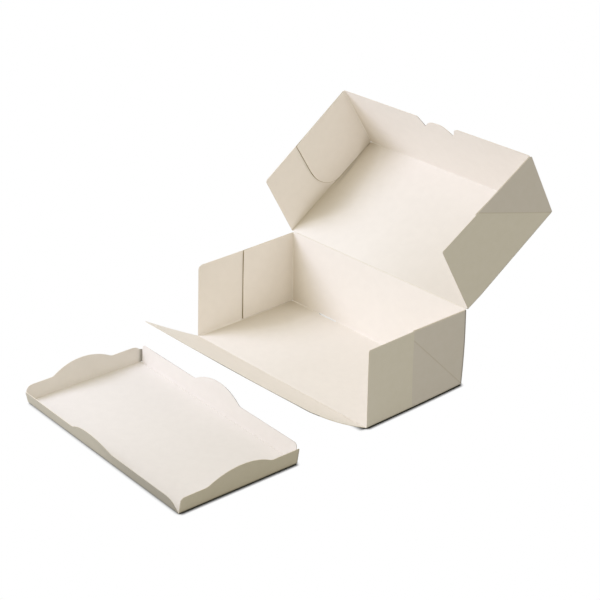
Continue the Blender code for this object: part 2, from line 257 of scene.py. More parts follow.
def boardSheet(name, middle, insideUp, roundEdges=(), marks=None, blank="box"):
    # A sheet of board round a grid of points (rows, columns, 3) on its middle surface, in millimetres.
    # The faces are middle + and - half the thickness along the normal, the cross product of the steps
    # along a row and along a column. The rim goes round the border: outwards by half the thickness *
    # cos(angle) where an edge is round, and by a small share of that where it is cut.
    # marks are grids of values that the materials read as attributes.
    half = halfBoard
    rows, columns = middle.shape[:2]
    alongRow = np.gradient(middle, axis=1)
    alongColumn = np.gradient(middle, axis=0)
    normal = unit(np.cross(alongRow, alongColumn))
    number = np.arange(rows * columns).reshape(rows, columns)
    border = np.concatenate([number[0, :-1], number[:-1, -1], number[-1, :0:-1], number[:0:-1, 0]])
    outward = np.zeros((rows, columns, 3))
    roundness = np.zeros((rows, columns))
    for edge, part, direction in (("start", np.s_[0, :], -alongColumn), ("end", np.s_[-1, :], alongColumn),
                                  ("left", np.s_[:, 0], -alongRow), ("right", np.s_[:, -1], alongRow)):
        outward[part] += unit(direction[part])
        roundness[part] = np.maximum(roundness[part],
                                     1.0 if edge in roundEdges else sheetSettings["cutRound"])
    middleFlat, normalFlat = middle.reshape(-1, 3), normal.reshape(-1, 3)
    outFlat, roundFlat = outward.reshape(-1, 3)[border], roundness.reshape(-1)[border]
    angles = np.linspace(np.pi / 2, -np.pi / 2, sheetSettings["rimSteps"])[1:-1]
    rings = [middleFlat[border] + outFlat * (half * np.cos(a) * roundFlat)[:, None]
             + normalFlat[border] * half * np.sin(a) for a in angles]
    points = np.concatenate([middleFlat + normalFlat * half, middleFlat - normalFlat * half] + rings)
    total, loop = rows * columns, len(border)
    quads = np.stack([number[:-1, :-1], number[:-1, 1:], number[1:, 1:], number[1:, :-1]], axis=-1)
    quads = quads.reshape(-1, 4)
    chain = [border] + [2 * total + k * loop + np.arange(loop) for k in range(len(angles))] + [border + total]
    rim = [np.stack([upper, lower, np.roll(lower, -1), np.roll(upper, -1)], axis=-1)
           for upper, lower in zip(chain[:-1], chain[1:])]
    faces = np.concatenate([quads, (quads + total)[:, ::-1]] + rim)
    # material slots: inner face, outer face, cut edge
    look = np.repeat([0 if insideUp else 1, 1 if insideUp else 0, 2],
                     [len(quads), len(quads), loop * (len(angles) + 1)])
    mesh = bpy.data.meshes.new(name)
    mesh.vertices.add(len(points))
    mesh.vertices.foreach_set("co", (points * mm).astype(np.float32).ravel())
    mesh.loops.add(faces.size)
    mesh.loops.foreach_set("vertex_index", faces.astype(np.int32).ravel())
    mesh.polygons.add(len(faces))
    mesh.polygons.foreach_set("loop_start", np.arange(0, faces.size, 4, dtype=np.int32))
    mesh.polygons.foreach_set("material_index", look.astype(np.int32))
    mesh.update(calc_edges=True)
    marks = marks or {}
    for mark, empty in (("scoreDistance", 99.0), ("flapLine", 99.0), ("flapDistance", -99.0),
                        ("deepShade", 0.0), ("cornerShade", 0.0)):
        values = marks.get(mark, np.full((rows, columns), empty))
        flat = values.reshape(-1)
        rimValues = flat[border]
        if mark == "deepShade" and "rimShade" in marks:
            rimValues = np.maximum(rimValues, marks["rimShade"].reshape(-1)[border])
        layer = mesh.attributes.new(mark, "FLOAT", "POINT")
        values = np.concatenate([flat, flat] + [rimValues] * len(angles))
        layer.data.foreach_set("value", values.astype(np.float32))
    mesh.shade_smooth()
    mesh.set_sharp_from_angle(angle=math.radians(sheetSettings["sharpAngle"]))
    piece = bpy.data.objects.new(name, mesh)
    bpy.context.scene.collection.objects.link(piece)
    for material in boards[blank]:
        mesh.materials.append(material)
    return piece


def rowShares(count, length, *steps):
    # Even shares from nought, then one row at each of the steps before the end, then the end
    return np.concatenate([np.linspace(0, 1 - steps[0] / length, count),
                           1 - np.array(steps[1:] + (0.0,)) / length])[:, None]


def fading(distance, along, shade):
    # strength * (1 - distance / reach) to a power, with the reach read from pairs of the place along the
    # crease and the reach, and nought past it
    strength, power, reach = shade
    return strength * np.clip(1 - distance / np.interp(along, *np.transpose(reach)), 0, 1) ** power


def place(piece, body, *nodes):
    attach(piece, body)
    if nodes:
        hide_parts(*nodes)
    return piece


# Base

base = {
    "halfLength": 124.75,       # middle of the board, box middle to end wall
    "halfDepth": 65.75,         # box middle to the two creases
    "height": 82.0,
    "endTop": 81.0,
    "endFront": (-65.2, -64.7),     # left, right
    "endRear": 64.9,            # the ends stop short of the rounded rear corner
    "endCornerRadius": (4.3, 1.0),          # left, right
    "foldRadius": 1.0,
    "cornerFoldRadius": 1.2,
    "flapX": 123.95,
    "flapFront": -5.3,
    "flapBottom": 0.8,
    "flapTop": 81.0,
    "flapEdgeBow": 0.5,         # the flap's free edge bows forward at mid-height
    "flapLift": 0.5,            # and stands off the end wall
    "rearBulge": 1.2,           # the right end's rear edge bulges back at mid-height
    "footBow": 0.9,             # the right end's foot bows outwards
    "footCorner": (0.8, -0.3),  # and its front corner has moved right and forward
    "floorDim": (-60, 60, 0.09),        # shade of the floor's right part: from x, over a length, share
    "outerFootShade": 0.35,     # shade at the foot and at the rear edge of the right end's outer face
    "outerRearShade": 0.6,
    # shade beside the left corner: strength, power, pairs of the place along the crease and the reach
    "floorShade": (0.54, 1.0, ((-66, 2), (-55, 6), (-35, 14), (-15, 28), (5, 38), (25, 44), (66, 40))),
    "wallShade": (0.48, 1.1, ((0, 32), (20, 24), (40, 17), (60, 8), (75, 3), (82, 2))),
    "endShade": (0.26, 1.2, ((0, 76), (40, 62), (81, 44))),
    "gussetTurn": 0.006,        # gusset's turn on its diagonal score, outwards
    "endBow": 0.5,
    "leftEndCorner": (1.4, 1.1, -0.9),      # how far the left end's front top corner has moved,
    "leftEndRear": (-0.3, 0.0, -0.5),       # and its rear top corner
}


def baseEndWarp(points, size):
    # Adds to each point of an end wall: on the left, the share of the height times (the front corner's
    # move times the share to the front + the rear edge's move times the rest). On both, a bow of sine
    # times sine and the gusset's turn past its diagonal. On the right, the foot's bow and its corner.
    x, y, z = points[..., 0], points[..., 1], points[..., 2]
    side = np.where(np.abs(x) > size["halfLength"] - 6, np.sign(x), 0.0)
    high = np.clip(z / size["endTop"], 0, 1)
    front = np.clip(0.5 - y / (2 * size["halfDepth"]), 0, 1)
    left = (side < 0) * high
    past = np.clip((y + z - size["halfDepth"]) / math.sqrt(2), 0, None)
    bow = np.sin(np.pi * front) * np.sin(np.pi * high * 0.5)
    moved = points.copy()
    for axis in range(3):
        moved[..., axis] += left * (front * size["leftEndCorner"][axis]
                                    + (1 - front) * size["leftEndRear"][axis])
    moved[..., 0] += side * (past * size["gussetTurn"] - bow * size["endBow"])
    right = np.clip((x - size["halfLength"] + 30) / 30, 0, 1) ** 2
    moved[..., 0] += right * (1 - high) * np.sin(np.pi * front) * size["footBow"]
    corner = right * (1 - high) ** 2 * front ** 4
    moved[..., 0] += corner * size["footCorner"][0]
    moved[..., 1] += corner * size["footCorner"][1]
    return moved


def makeBaseShell(size):
    # Floor and ends: a U path in X and Z, carried along Y from a front line to a rear line
    path, where = foldedPath([(-size["halfLength"], size["endTop"]), (-size["halfLength"], halfBoard),
                              (size["halfLength"], halfBoard), (size["halfLength"], size["endTop"])],
                             size["foldRadius"], sheetSettings["spacing"])
    onFloor = np.clip(1 - np.abs(where - 1), 0, 1)
    radius = np.where(path[:, 0] < 0, *size["endCornerRadius"])
    corner = cornerRise(size["endTop"] - path[:, 1], radius)
    bulge = size["rearBulge"] * (path[:, 0] > 0) * np.sin(np.pi * np.clip(path[:, 1] / size["endTop"], 0, 1))
    front = (1 - onFloor) * (np.where(path[:, 0] < 0, *size["endFront"]) + corner) - onFloor * (
        size["halfDepth"] - sheetSettings["panelRoom"])
    rear = (1 - onFloor) * (size["endRear"] + bulge) + onFloor * (size["halfDepth"] - size["foldRadius"])
    share = rowShares(70, 2 * size["halfDepth"], 1.8, 1.2, 0.6)     # close rows at the rear edge's shade
    grid = np.empty((len(share), len(path), 3))
    grid[..., 0], grid[..., 2] = path[:, 0], path[:, 1]
    grid[..., 1] = front + (rear - front) * share
    x, y, z = grid[..., 0], grid[..., 1], grid[..., 2]
    flap = np.where(onFloor > 0, -99.0, y - size["flapFront"] + flapEdgeBow(z, size))
    score = np.where(flap < 0, 99.0, (y + z - size["halfDepth"]) / math.sqrt(2))
    outer = (x > size["halfLength"] - 1.5) * (onFloor < 1)
    dark = outer * np.maximum(size["outerFootShade"] * np.clip(1.6 - z, 0, 1),
                              size["outerRearShade"] * np.clip((1.8 - rear + y) / 0.6, 0, 1))
    piece = boardSheet("baseFloorAndEnds", baseEndWarp(grid, size), True, ("start",),
                       {"scoreDistance": score, "flapDistance": flap, "deepShade": dark,
                        "flapLine": np.clip(-flap - 0.3, 0, None),
                        "cornerShade": baseCornerShade(x, y, z, size)})
    return place(piece, "base", "base_floor", "base_left_end", "base_right_end",
                 "base_left_gusset", "base_right_gusset")


def baseCornerShade(x, y, z, size):
    # Left end wall: by the distance to the back wall. Floor and back wall: to the left end wall.
    fromLeft = x + size["halfLength"]
    first, length, dim = size["floorDim"]
    onFloor = fading(fromLeft, y, size["floorShade"]) + dim * np.clip((x - first) / length, 0, 1) * (z < 2)
    beside = np.where(y > size["halfDepth"] - 2, fading(fromLeft, z, size["wallShade"]), onFloor)
    return np.where(fromLeft < 2, fading(size["halfDepth"] - y, z, size["endShade"]), beside)


def flapEdgeBow(height, size):
    # The glue flap's free edge bows forward by bow * sine of the height
    return size["flapEdgeBow"] * np.sin(np.pi * np.clip(height / size["flapTop"], 0, 1))


def makeBaseBackWall(size):
    # Back wall and glue flaps: a U path in X and Y, carried up from a bottom line to a top line.
    # The flap's last quarter lifts off the end wall by lift * share squared.
    path, where = foldedPath([(-size["flapX"], size["flapFront"]), (-size["flapX"], size["halfDepth"]),
                              (size["flapX"], size["halfDepth"]), (size["flapX"], size["flapFront"])],
                             size["cornerFoldRadius"], sheetSettings["spacing"])
    onWall = np.clip(1 - np.abs(where - 1), 0, 1)
    bottom = onWall * (halfBoard + size["foldRadius"]) + (1 - onWall) * size["flapBottom"]
    top = onWall * (size["height"] - sheetSettings["hingeRoom"]) + (1 - onWall) * size["flapTop"]
    share = np.linspace(0, 1, 52)[:, None]
    grid = np.empty((52, len(path), 3))
    grid[..., 0], grid[..., 1] = path[:, 0], path[:, 1]
    grid[..., 2] = bottom + (top - bottom) * share
    toEdge = np.clip((size["halfDepth"] - grid[..., 1]) / (size["halfDepth"] - size["flapFront"]), 0, 1)
    grid[..., 1] -= toEdge * flapEdgeBow(grid[..., 2], size)
    shade = baseCornerShade(grid[..., 0], grid[..., 1], grid[..., 2], size)
    grid = baseEndWarp(grid, size)
    grid[..., 0] -= np.sign(grid[..., 0]) * size["flapLift"] * np.clip((toEdge - 0.75) / 0.25, 0, 1) ** 2
    piece = boardSheet("baseBackWallAndFlaps", grid, True, ("end",), {"cornerShade": shade})
    return place(piece, "base", "base_back_wall", "base_left_glue_flap", "base_right_glue_flap")


rearFold = {"slitMiddle": 68.0, "slitLength": 26.5, "halfSpan": 123.4}


def makeFoldStrips(name, body, spans, centre, radius, toWorld):
    # Quarter-round fold: centre + radius * (sine, -cosine) of an angle from 0 to 90 degrees, carried
    # along X over each span. toWorld takes X and the two other coordinates to a point.
    angle = np.linspace(0, np.pi / 2, 9)[:, None]
    pieces = []
    for k, (x0, x1) in enumerate(spans):
        x = np.linspace(x0, x1, max(3, int((x1 - x0) / 6)))[None, :]
        grid = toWorld(x + 0 * angle, centre[0] + radius * np.sin(angle) + 0 * x,
                       centre[1] - radius * np.cos(angle) + 0 * x)
        pieces.append(place(boardSheet(f"{name}{k + 1}", grid, True), body))
    return pieces


def stackXYZ(x, y, z):
    return np.stack([x, y, z], axis=-1)


makeBaseShell(base)
makeBaseBackWall(base)
slitEdges = [-rearFold["halfSpan"]]
for side in (-1, 1):
    slitEdges += [side * rearFold["slitMiddle"] - rearFold["slitLength"] / 2,
                  side * rearFold["slitMiddle"] + rearFold["slitLength"] / 2]
slitEdges.append(rearFold["halfSpan"])
makeFoldStrips("baseRearFold", "base", [tuple(slitEdges[k:k + 2]) for k in (0, 2, 4)],
               (base["halfDepth"] - base["foldRadius"], halfBoard + base["foldRadius"]),
               base["foldRadius"], stackXYZ)
print("base made")


# Front panel

panel = {
    "length": 77.5,
    "halfLength": (125.0, 124.1),   # left, right
    "cornerRadius": (2.0, 9.0),
    # pairs of x and degrees: slope of the panel's middle, and how far it curls up from crease to edge
    "slope": ((-125, 30.0), (-58, 29.7), (0, 29.7), (33, 29.8), (66, 30.1), (99, 30.5), (125, 30.7)),
    "curl": ((-125, 3.0), (60, 3.0), (125, 11.0)),
    # shade of the free edge along x, and how far in it reaches
    "edgeShade": ((-125, 0.1), (-50, 0.3), (0, 0.8), (60, 0.5), (125, 1.0)),
    "edgeShadeReach": 0.9,
}


def makeFrontPanel(size):
    # Each column is the running sum of (cos, sin) of an angle that grows evenly from the crease to the
    # free edge: slope + curl * (share - 1/2). It starts a little off the crease line, to have room to
    # turn, and ends where the rounded corners let it.
    left, right = size["cornerRadius"]
    close = np.linspace(0, 1, 12) ** 2      # columns close together round the corners
    leftEnd, rightEnd = size["halfLength"]
    x = np.unique(np.concatenate([np.linspace(-leftEnd, rightEnd, 160),
                                  rightEnd - close * right, close * left - leftEnd]))
    radius = np.where(x < 0, left, right)
    reach = size["length"] - cornerRise(np.where(x < 0, leftEnd, rightEnd) - np.abs(x), radius)
    room = sheetSettings["panelRoom"] / size["length"]
    share = room + (1 - room) * rowShares(44, size["length"], 1.4, 0.7)
    slope, curl, dark = (np.interp(x, *np.transpose(size[key]))
                         for key in ("slope", "curl", "edgeShade"))
    angle = np.radians(slope + curl * (share - 0.5))
    step = np.diff(share, axis=0) * reach
    middle = (angle[1:] + angle[:-1]) / 2
    start = sheetSettings["panelRoom"]
    out = start * np.cos(angle[0]) + np.vstack([0 * x, np.cumsum(np.cos(middle) * step, axis=0)])
    rise = start * np.sin(angle[0]) + np.vstack([0 * x, np.cumsum(np.sin(middle) * step, axis=0)])
    grid = stackXYZ(x + 0 * out, -base["halfDepth"] - out, halfBoard + rise)
    edge = dark * np.clip(1 - (1 - share) * size["length"] / size["edgeShadeReach"], 0, 1)
    piece = boardSheet("frontPanel", grid[:, ::-1], True, ("start",), {"deepShade": edge[:, ::-1]})
    return place(piece, "front_panel", "base_front_panel")


makeFrontPanel(panel)
print("front panel made")


# Lid, worked out lying on its panel: x along the hinge, a away from it, b up into the lid

lid = {
    "angle": 31.9,
    "hingeHeight": 82.0,
    "halfLength": 126.6,
    "depth": 135.5,
    "wallHeight": 79.0,
    "rearStart": 0.65,          # the ends' rear edges start this far from the hinge at the panel,
    "rearSetback": 3.0,         # and stand this far from it at the free edge
    "rearCornerRadius": (2.0, 1.0),     # left, right
    "endFront": (134.6, 136.9),
    "frontCornerRadius": (0.1, 2.5),
    "foldBulge": 1.4,           # the right fold of the panel bulges down
    "foldRadius": 1.0,
    "cornerFoldRadius": 1.2,
    "flapX": 125.85,
    "flapRear": 53.5,
    "flapCorner": (29.0, 38.0),     # half axes of its rounded corner, along a and b
    "flapLift": 0.5,            # its free edge stands off the end
    "gussetTurn": 0.003,
    "frontDepth": 136.1,        # outer face of the front wall
    "foldHalfSpan": 125.2,      # half length of the fold between panel and front wall
    "flapBottom": 1.0,
    # shade of the panel's right part by the hinge: from x, over a length, share, and its reach along a
    "panelDim": (-30, 100, 0.24, 110),
    "foldShade": 0.9,           # dark line along the right fold of the panel
    # shade beside the left corner: strength, power, pairs of the place along the crease and the reach
    "panelShade": (0.68, 1.1, ((0, 2), (8, 3), (20, 16), (35, 36), (50, 46), (65, 45), (80, 38), (110, 32),
                               (136, 18))),
    "endShade": (0.56, 2.2, ((0, 3), (8, 8), (20, 14), (35, 20), (60, 20), (72, 1), (112, 1), (128, 22),
                             (136, 26))),
    "frontShade": (0.4, 1.1, ((0, 20), (5, 18), (15, 13), (30, 9), (45, 5), (60, 2), (79, 1))),
    # shadow of the flap's foot on the panel, along a: distance from the corner, and strength
    "footShadow": ((60, 5.5), (80, 4.6), (95, 3.7), (110, 2.0), (130, 1.0)),
    "footShadowShare": ((64, 0), (80, 0.18), (95, 0.3), (110, 0.16), (125, 0)),
    "footShadowWidth": 1.6,
    # lock tab: height of the front wall's free edge along x, and shade in its two notches
    "lockEdge": ((-200, 79), (-21.5, 79), (-20, 78.2), (-14.2, 67.9), (-13.4, 67.3), (-12.3, 69.4),
                 (-8.3, 73.2), (-4.5, 75.3), (-0.5, 76.5), (9.7, 77.0), (14, 75.6), (19.7, 71.0),
                 (22.6, 68.2), (23.8, 67.4), (25, 68.6), (28, 76.0), (33, 79), (200, 79)),
    "lockShade": ((-20.5, 0), (-20.0, 0.4), (-14.0, 1.0), (-13.2, 0), (19.0, 0), (22.5, 0.6), (24.0, 0)),
    # how far the lid's corners have moved: hinge or front, panel or free edge, left or right
    "twist": {
        "hingeFreeLeft": (0.7, 0.0, -3.1), "hingeFreeRight": (-0.7, 0.5, 3.0),
        "frontPanelLeft": (-0.6, 1.0, 1.8), "frontPanelRight": (0.2, -1.0, -0.9),
        "frontFreeLeft": (-1.0, 0.4, 2.0), "frontFreeRight": (1.0, 0.7, -0.6),
    },
}


def lidToWorld(x, a, b):
    # Twist: each corner's move times the shares of x, a and b that belong to it. Then turned by the
    # lid's angle about the hinge line.
    right = np.clip(0.5 + x / (2 * lid["halfLength"]), 0, 1)
    front = np.clip(a / lid["depth"], 0, 1)
    free = np.clip(b / lid["wallHeight"], 0, 1)
    move = np.zeros(np.broadcast(x, a, b).shape + (3,))
    for key, vector in lid["twist"].items():
        share = (right if "Right" in key else 1 - right) * (front if "front" in key else 1 - front)
        share = share * (free if "Free" in key else 1 - free)
        move += share[..., None] * np.array(vector)
    x, a, b = x + move[..., 0], a + move[..., 1], b + move[..., 2]
    turn = math.radians(lid["angle"])
    return stackXYZ(x, base["halfDepth"] + a * math.cos(turn) - b * math.sin(turn),
                    lid["hingeHeight"] + a * math.sin(turn) + b * math.cos(turn))


def makeLidShell(size):
    # Panel and ends: a U path in x and b, carried along a. The flap's foot shadow on the panel is
    # strength * exp(-(offset / width) squared), and the fold bulges by shares of x, b and a.
    path, where = foldedPath([(-size["halfLength"], size["wallHeight"]), (-size["halfLength"], 0),
                              (size["halfLength"], 0), (size["halfLength"], size["wallHeight"])],
                             size["foldRadius"], sheetSettings["spacing"])
    onPanel = np.clip(1 - np.abs(where - 1), 0, 1)
    height = np.clip(path[:, 1] / size["wallHeight"], 0, 1)
    rear = size["rearStart"] + (size["rearSetback"] - size["rearStart"]) * height
    onLeft = path[:, 0] < 0
    fromFree = size["wallHeight"] - path[:, 1]
    rear = rear + cornerRise(fromFree, np.where(onLeft, *size["rearCornerRadius"]))
    front = np.where(onLeft, *size["endFront"]) - cornerRise(
        fromFree, np.where(onLeft, *size["frontCornerRadius"]))
    start = (1 - onPanel) * rear + onPanel * sheetSettings["hingeRoom"]
    end = (1 - onPanel) * front + onPanel * (size["frontDepth"] - halfBoard - size["foldRadius"])
    share = np.linspace(0, 1, 72)[:, None]
    a = start + (end - start) * share
    x, b = path[:, 0] + 0 * a, path[:, 1] + 0 * a
    past = (a + b - size["depth"]) / math.sqrt(2)
    onEnd = onPanel == 0
    x = x + np.sign(x) * onEnd * np.clip(past, 0, None) * size["gussetTurn"]
    line = np.where(onEnd, lidFlapDistance(a, b, size), 99.0)
    fromLeft = x + size["halfLength"]
    foot = np.interp(a, *np.transpose(size["footShadowShare"])) * np.exp(
        -((fromLeft - np.interp(a, *np.transpose(size["footShadow"]))) / size["footShadowWidth"]) ** 2)
    fold = size["foldShade"] * (b < 0.8) * np.clip((x - size["halfLength"] + 1.2) / 0.6, 0, 1)
    first, length, dim, reach = size["panelDim"]
    dim = dim * np.clip((x - first) / length, 0, 1) * np.clip(1 - a / reach, 0, 1) ** 0.7
    shade = np.where(onEnd, (x < 0) * fading(b, a, size["endShade"]),
                     fading(fromLeft, a, size["panelShade"]) + dim)
    bulge = np.clip((x - size["halfLength"] + 4) / 4, 0, 1) * np.clip(1 - b / 3, 0, 1) * np.clip(a / 20, 0, 1)
    grid = lidToWorld(x, a, b - size["foldBulge"] * bulge)
    piece = boardSheet("lidPanelAndEnds", grid, True, ("start",),
                       {"scoreDistance": np.where(onEnd, past, 99.0), "flapLine": line,
                        "flapDistance": np.where(onEnd, past, -99.0), "cornerShade": shade,
                        "deepShade": np.maximum(fold, foot * ~onEnd)})
    return place(piece, "lid", "lid_panel", "lid_left_end", "lid_right_end",
                 "lid_left_gusset", "lid_right_gusset")


def lidFlapDistance(a, b, size):
    # From the flap's outline, outwards: near the rounded corner k0 * (k0 - 1) / k1, where k0 and k1 are
    # the lengths of the offset from the ellipse's centre over its half axes and over their squares.
    # Towards the foot the shadow line grows to three times its width.
    axes = np.array(size["flapCorner"])
    offset = np.stack([size["flapRear"] + axes[0] - a, size["flapBottom"] + axes[1] - b], axis=-1)
    slope = np.clip(offset, 0.0, None) / axes ** 2
    k0, k1 = np.linalg.norm(slope * axes, axis=-1), np.maximum(np.linalg.norm(slope, axis=-1), 1e-9)
    straight = offset - axes
    distance = np.where(offset.min(axis=-1) > 0, k0 * (k0 - 1) / k1, straight.max(axis=-1))
    down = np.where(offset.min(axis=-1) > 0, (slope[..., 1] / k1) ** 2, straight[..., 1] > straight[..., 0])
    return distance / (1 + 2 * down)


def makeLidFrontWall(size):
    # Front wall and glue flaps: a U path in x and a, carried up b to the lock tab's edge. The flap's
    # last part lifts off the end by lift * share squared.
    wallMiddle = size["frontDepth"] - halfBoard
    path, where = foldedPath([(-size["flapX"], size["flapRear"]), (-size["flapX"], wallMiddle),
                              (size["flapX"], wallMiddle), (size["flapX"], size["flapRear"])],
                             size["cornerFoldRadius"], 1.0)
    onWall = np.clip(1 - np.abs(where - 1), 0, 1)
    bottom = onWall * size["foldRadius"] + (1 - onWall) * (
        size["flapBottom"] + cornerRise(path[:, 1] - size["flapRear"], size["flapCorner"][0])
        * size["flapCorner"][1] / size["flapCorner"][0])
    edge = np.interp(path[:, 0], *np.transpose(size["lockEdge"]))
    top = np.where(onWall == 1, edge, size["wallHeight"])
    share = np.linspace(0, 1, 44)[:, None]
    b = bottom + (top - bottom) * share
    x, a = path[:, 0] + 0 * b, path[:, 1] + 0 * b
    toEdge = np.clip((size["depth"] - a) / (size["depth"] - size["flapRear"]), 0, 1)
    lift = size["flapLift"] * np.clip((toEdge - 0.7) / 0.3, 0, 1) ** 2
    x = x - np.sign(x) * lift
    dark = np.interp(x, *np.transpose(size["lockShade"])) * (onWall == 1)
    shade = np.where(onWall == 1, fading(x + size["flapX"], b, size["frontShade"]),
                     (x < 0) * fading(b, a, size["endShade"]))
    piece = boardSheet("lidFrontWallAndFlaps", lidToWorld(x, a, b), True, (),
                       {"rimShade": dark, "cornerShade": shade})
    return place(piece, "lid", "lid_front_wall", "lid_left_glue_flap", "lid_right_glue_flap")


makeLidShell(lid)
makeLidFrontWall(lid)
makeFoldStrips("lidFrontFold", "lid", [(-lid["foldHalfSpan"], lid["foldHalfSpan"])],
               (lid["frontDepth"] - halfBoard - lid["foldRadius"], lid["foldRadius"]), lid["foldRadius"],
               lidToWorld)
print("lid made")


# Tray

tray = {
    "middle": (3.0, -215.3),
    "turn": -2.4,
    "halfLength": 123.0,
    "halfDepth": 64.8,
    "humpFillet": 8.0,
    "tipSpacing": 1.2,      # between points along a wall's free edge
    "rearLeftLift": 0.6,    # the tray's rear left corner stands this much off the table
}

# Left and right are as seen from outside the tray. Pairs are of the place along the wall and a value:
# lean in degrees, rim height, shade of the outer face's lowest millimetre (foot), of the outer face
# (shade) and of the cut edge (rimShade). hump: middle, half width and rise. short: how far the wall
# stops short of the corner, at the left foot, left tip, right foot and right tip. endShade: width of the
# shade at the left and right end, where the next wall meets it, and its share.
trayWalls = {
    "trayFrontWall": {
        "body": "tray_front", "node": "tray_front_wall", "quarter": 0,
        "lean": ((0, 20),), "rim": ((-120, 16), (120, 16)), "radius": (3, 9),
        "hump": (-2.0, 31.5, 10), "short": (0.5, 6.5, 0.5, 3.2), "endShade": (0, 0, 0),
        "foot": ((-120, 0.2), (0, 0.6), (120, 0.8)),
        "shade": ((-120, 0), (5, 0.02), (30, 0.18), (50, 0.28), (120, 0.38)), "rimShade": ((0, 0),),
    },
    "trayRightWall": {
        "body": "tray_right", "node": "tray_right_wall", "quarter": 1,
        "lean": ((0, 10),), "rim": ((-62, 15.9), (62, 16.4)), "radius": (4, 0.8),
        "hump": (-1.0, 35, 10), "short": (0.5, 0.8, -0.6, -0.6), "endShade": (0, 1.4, 0.4),
        "foot": ((0, 0.5),), "shade": ((0, 0),), "rimShade": ((0, 0),),
    },
    "trayBackWall": {
        "body": "tray_back", "node": "tray_back_wall", "quarter": 2,
        "lean": ((0, 12),), "rim": ((-120, 17.4), (120, 18.1)), "radius": (4, 3.5),
        "hump": (0, 35, 10.3), "short": (1.0, 4.5, 3.5, -1.0), "endShade": (0, 0, 0),
        "foot": ((0, 0),), "shade": ((0, 0),),
        "rimShade": ((-120, 0.5), (-40, 0.4), (-34, 0.9), (-14, 0.9), (-8, 0.2), (40, 0.2), (60, 0.6),
                     (100, 0.6), (110, 0.1)),
    },
    "trayLeftWall": {
        "body": "tray_left", "node": "tray_left_wall", "quarter": 3,
        "lean": ((0, 12),), "radius": (0.5, 7), "hump": (0.5, 33.5, 9.3),
        "rim": ((-70.3, 11.4), (-65.3, 13.1), (-63.5, 14.7), (-61.5, 15.7), (-57.5, 16.2), (62, 15)),
        "short": (-2.5, -5.5, 0.5, -0.5), "endShade": (4.6, 0, 0.33),
        "foot": ((0, 0),), "shade": ((0, 0),), "rimShade": ((0, 0),),
    },
}


def trayToWorld(x, y, z):
    # Turned about the tray's middle, and lifted by the rear left corner's lift times the share to the
    # left times the share to the rear
    turn = math.radians(tray["turn"])
    toLeft = np.clip(0.5 - x / (2 * tray["halfLength"]), 0, 1)
    toRear = np.clip(0.5 + y / (2 * tray["halfDepth"]), 0, 1)
    return stackXYZ(tray["middle"][0] + x * math.cos(turn) - y * math.sin(turn),
                    tray["middle"][1] + x * math.sin(turn) + y * math.cos(turn),
                    z + tray["rearLeftLift"] * toLeft * toRear)


def humpHeight(x, half, rise, fillet):
    # Rise of the grip over the rim: a round back through the middle of the hump, and a fillet at each
    # foot. Back: centre + root(radius^2 - x^2). Fillet: its centre - root(fillet^2 - (x - its x)^2).
    radius = (half ** 2 + rise ** 2) / (2 * rise)
    centre = rise - radius
    tilt = math.asin((fillet - centre) / (radius + fillet))
    filletX = (radius + fillet) * math.cos(tilt)
    back = centre + np.sqrt(np.maximum(radius ** 2 - x ** 2, 0))
    foot = fillet - np.sqrt(np.maximum(fillet ** 2 - (np.abs(x) - filletX) ** 2, 0))
    return np.where(np.abs(x) < radius * math.cos(tilt), back, np.where(np.abs(x) < filletX, foot, 0.0))


def makeTrayWall(name, wall, size):
    # Ruled from the crease to the free edge: left corner arc, rim and hump, right corner arc. Each
    # corner arc runs from the slope of the wall's end, atan2(foot - tip, rim), to level. A point at a
    # height up the wall stands out by height * sine of the lean.
    def along(key, x):
        return np.interp(x, *np.transpose(wall[key]))

    halfFoot, distance = (size["halfLength"], size["halfDepth"])[::1 if wall["quarter"] % 2 == 0 else -1]
    leftFoot, leftTip, rightFoot, rightTip = (halfFoot - short for short in wall["short"])
    ends = []
    for side, foot, tip, radius in ((-1, leftFoot, leftTip, wall["radius"][0]),
                                    (1, rightFoot, rightTip, wall["radius"][1])):
        rim = along("rim", side * tip)
        slope = math.atan2(foot - tip, rim)
        angle = np.linspace(-slope, math.pi / 2, 12)
        centre = tip - radius / math.tan((math.pi / 2 + slope) / 2)
        ends.append((centre + radius * np.cos(angle), rim - radius + radius * np.sin(angle)))
    (leftX, leftZ), (rightX, rightZ) = ends
    humpMiddle, humpHalf, humpRise = wall["hump"]
    x = np.arange(-leftX[-1], rightX[-1], size["tipSpacing"])[1:]
    tipX = np.concatenate([-leftX, x, rightX[::-1]])
    hump = humpHeight(x - humpMiddle, humpHalf, humpRise, size["humpFillet"])
    tipZ = np.concatenate([leftZ, along("rim", x) + hump, rightZ[::-1]])
    footX = np.interp(tipX, [tipX[0], tipX[-1]], [-leftFoot, rightFoot])
    share = np.linspace(0, 1, 18)[:, None] ** 1.5
    alongWall = footX + (tipX - footX) * share
    height = tipZ * share
    lean = np.radians(along("lean", alongWall))
    endShade = np.maximum(np.clip(wall["endShade"][0] - alongWall + alongWall[:, :1], 0, 1),
                          np.clip(wall["endShade"][1] - alongWall[:, -1:] + alongWall, 0, 1))
    turn = wall["quarter"] * math.pi / 2
    out = distance + height * np.sin(lean)
    foot = along("foot", alongWall) * np.clip(1.3 - height, 0, 1)
    dark = np.maximum(np.maximum(wall["endShade"][2] * endShade, along("shade", alongWall)), foot)
    grid = trayToWorld(alongWall * math.cos(turn) + out * math.sin(turn),
                       alongWall * math.sin(turn) - out * math.cos(turn), halfBoard + height * np.cos(lean))
    piece = boardSheet(name, grid, False, ("start",),
                       {"deepShade": dark, "rimShade": along("rimShade", alongWall)}, "tray")
    return place(piece, wall["body"], wall["node"])


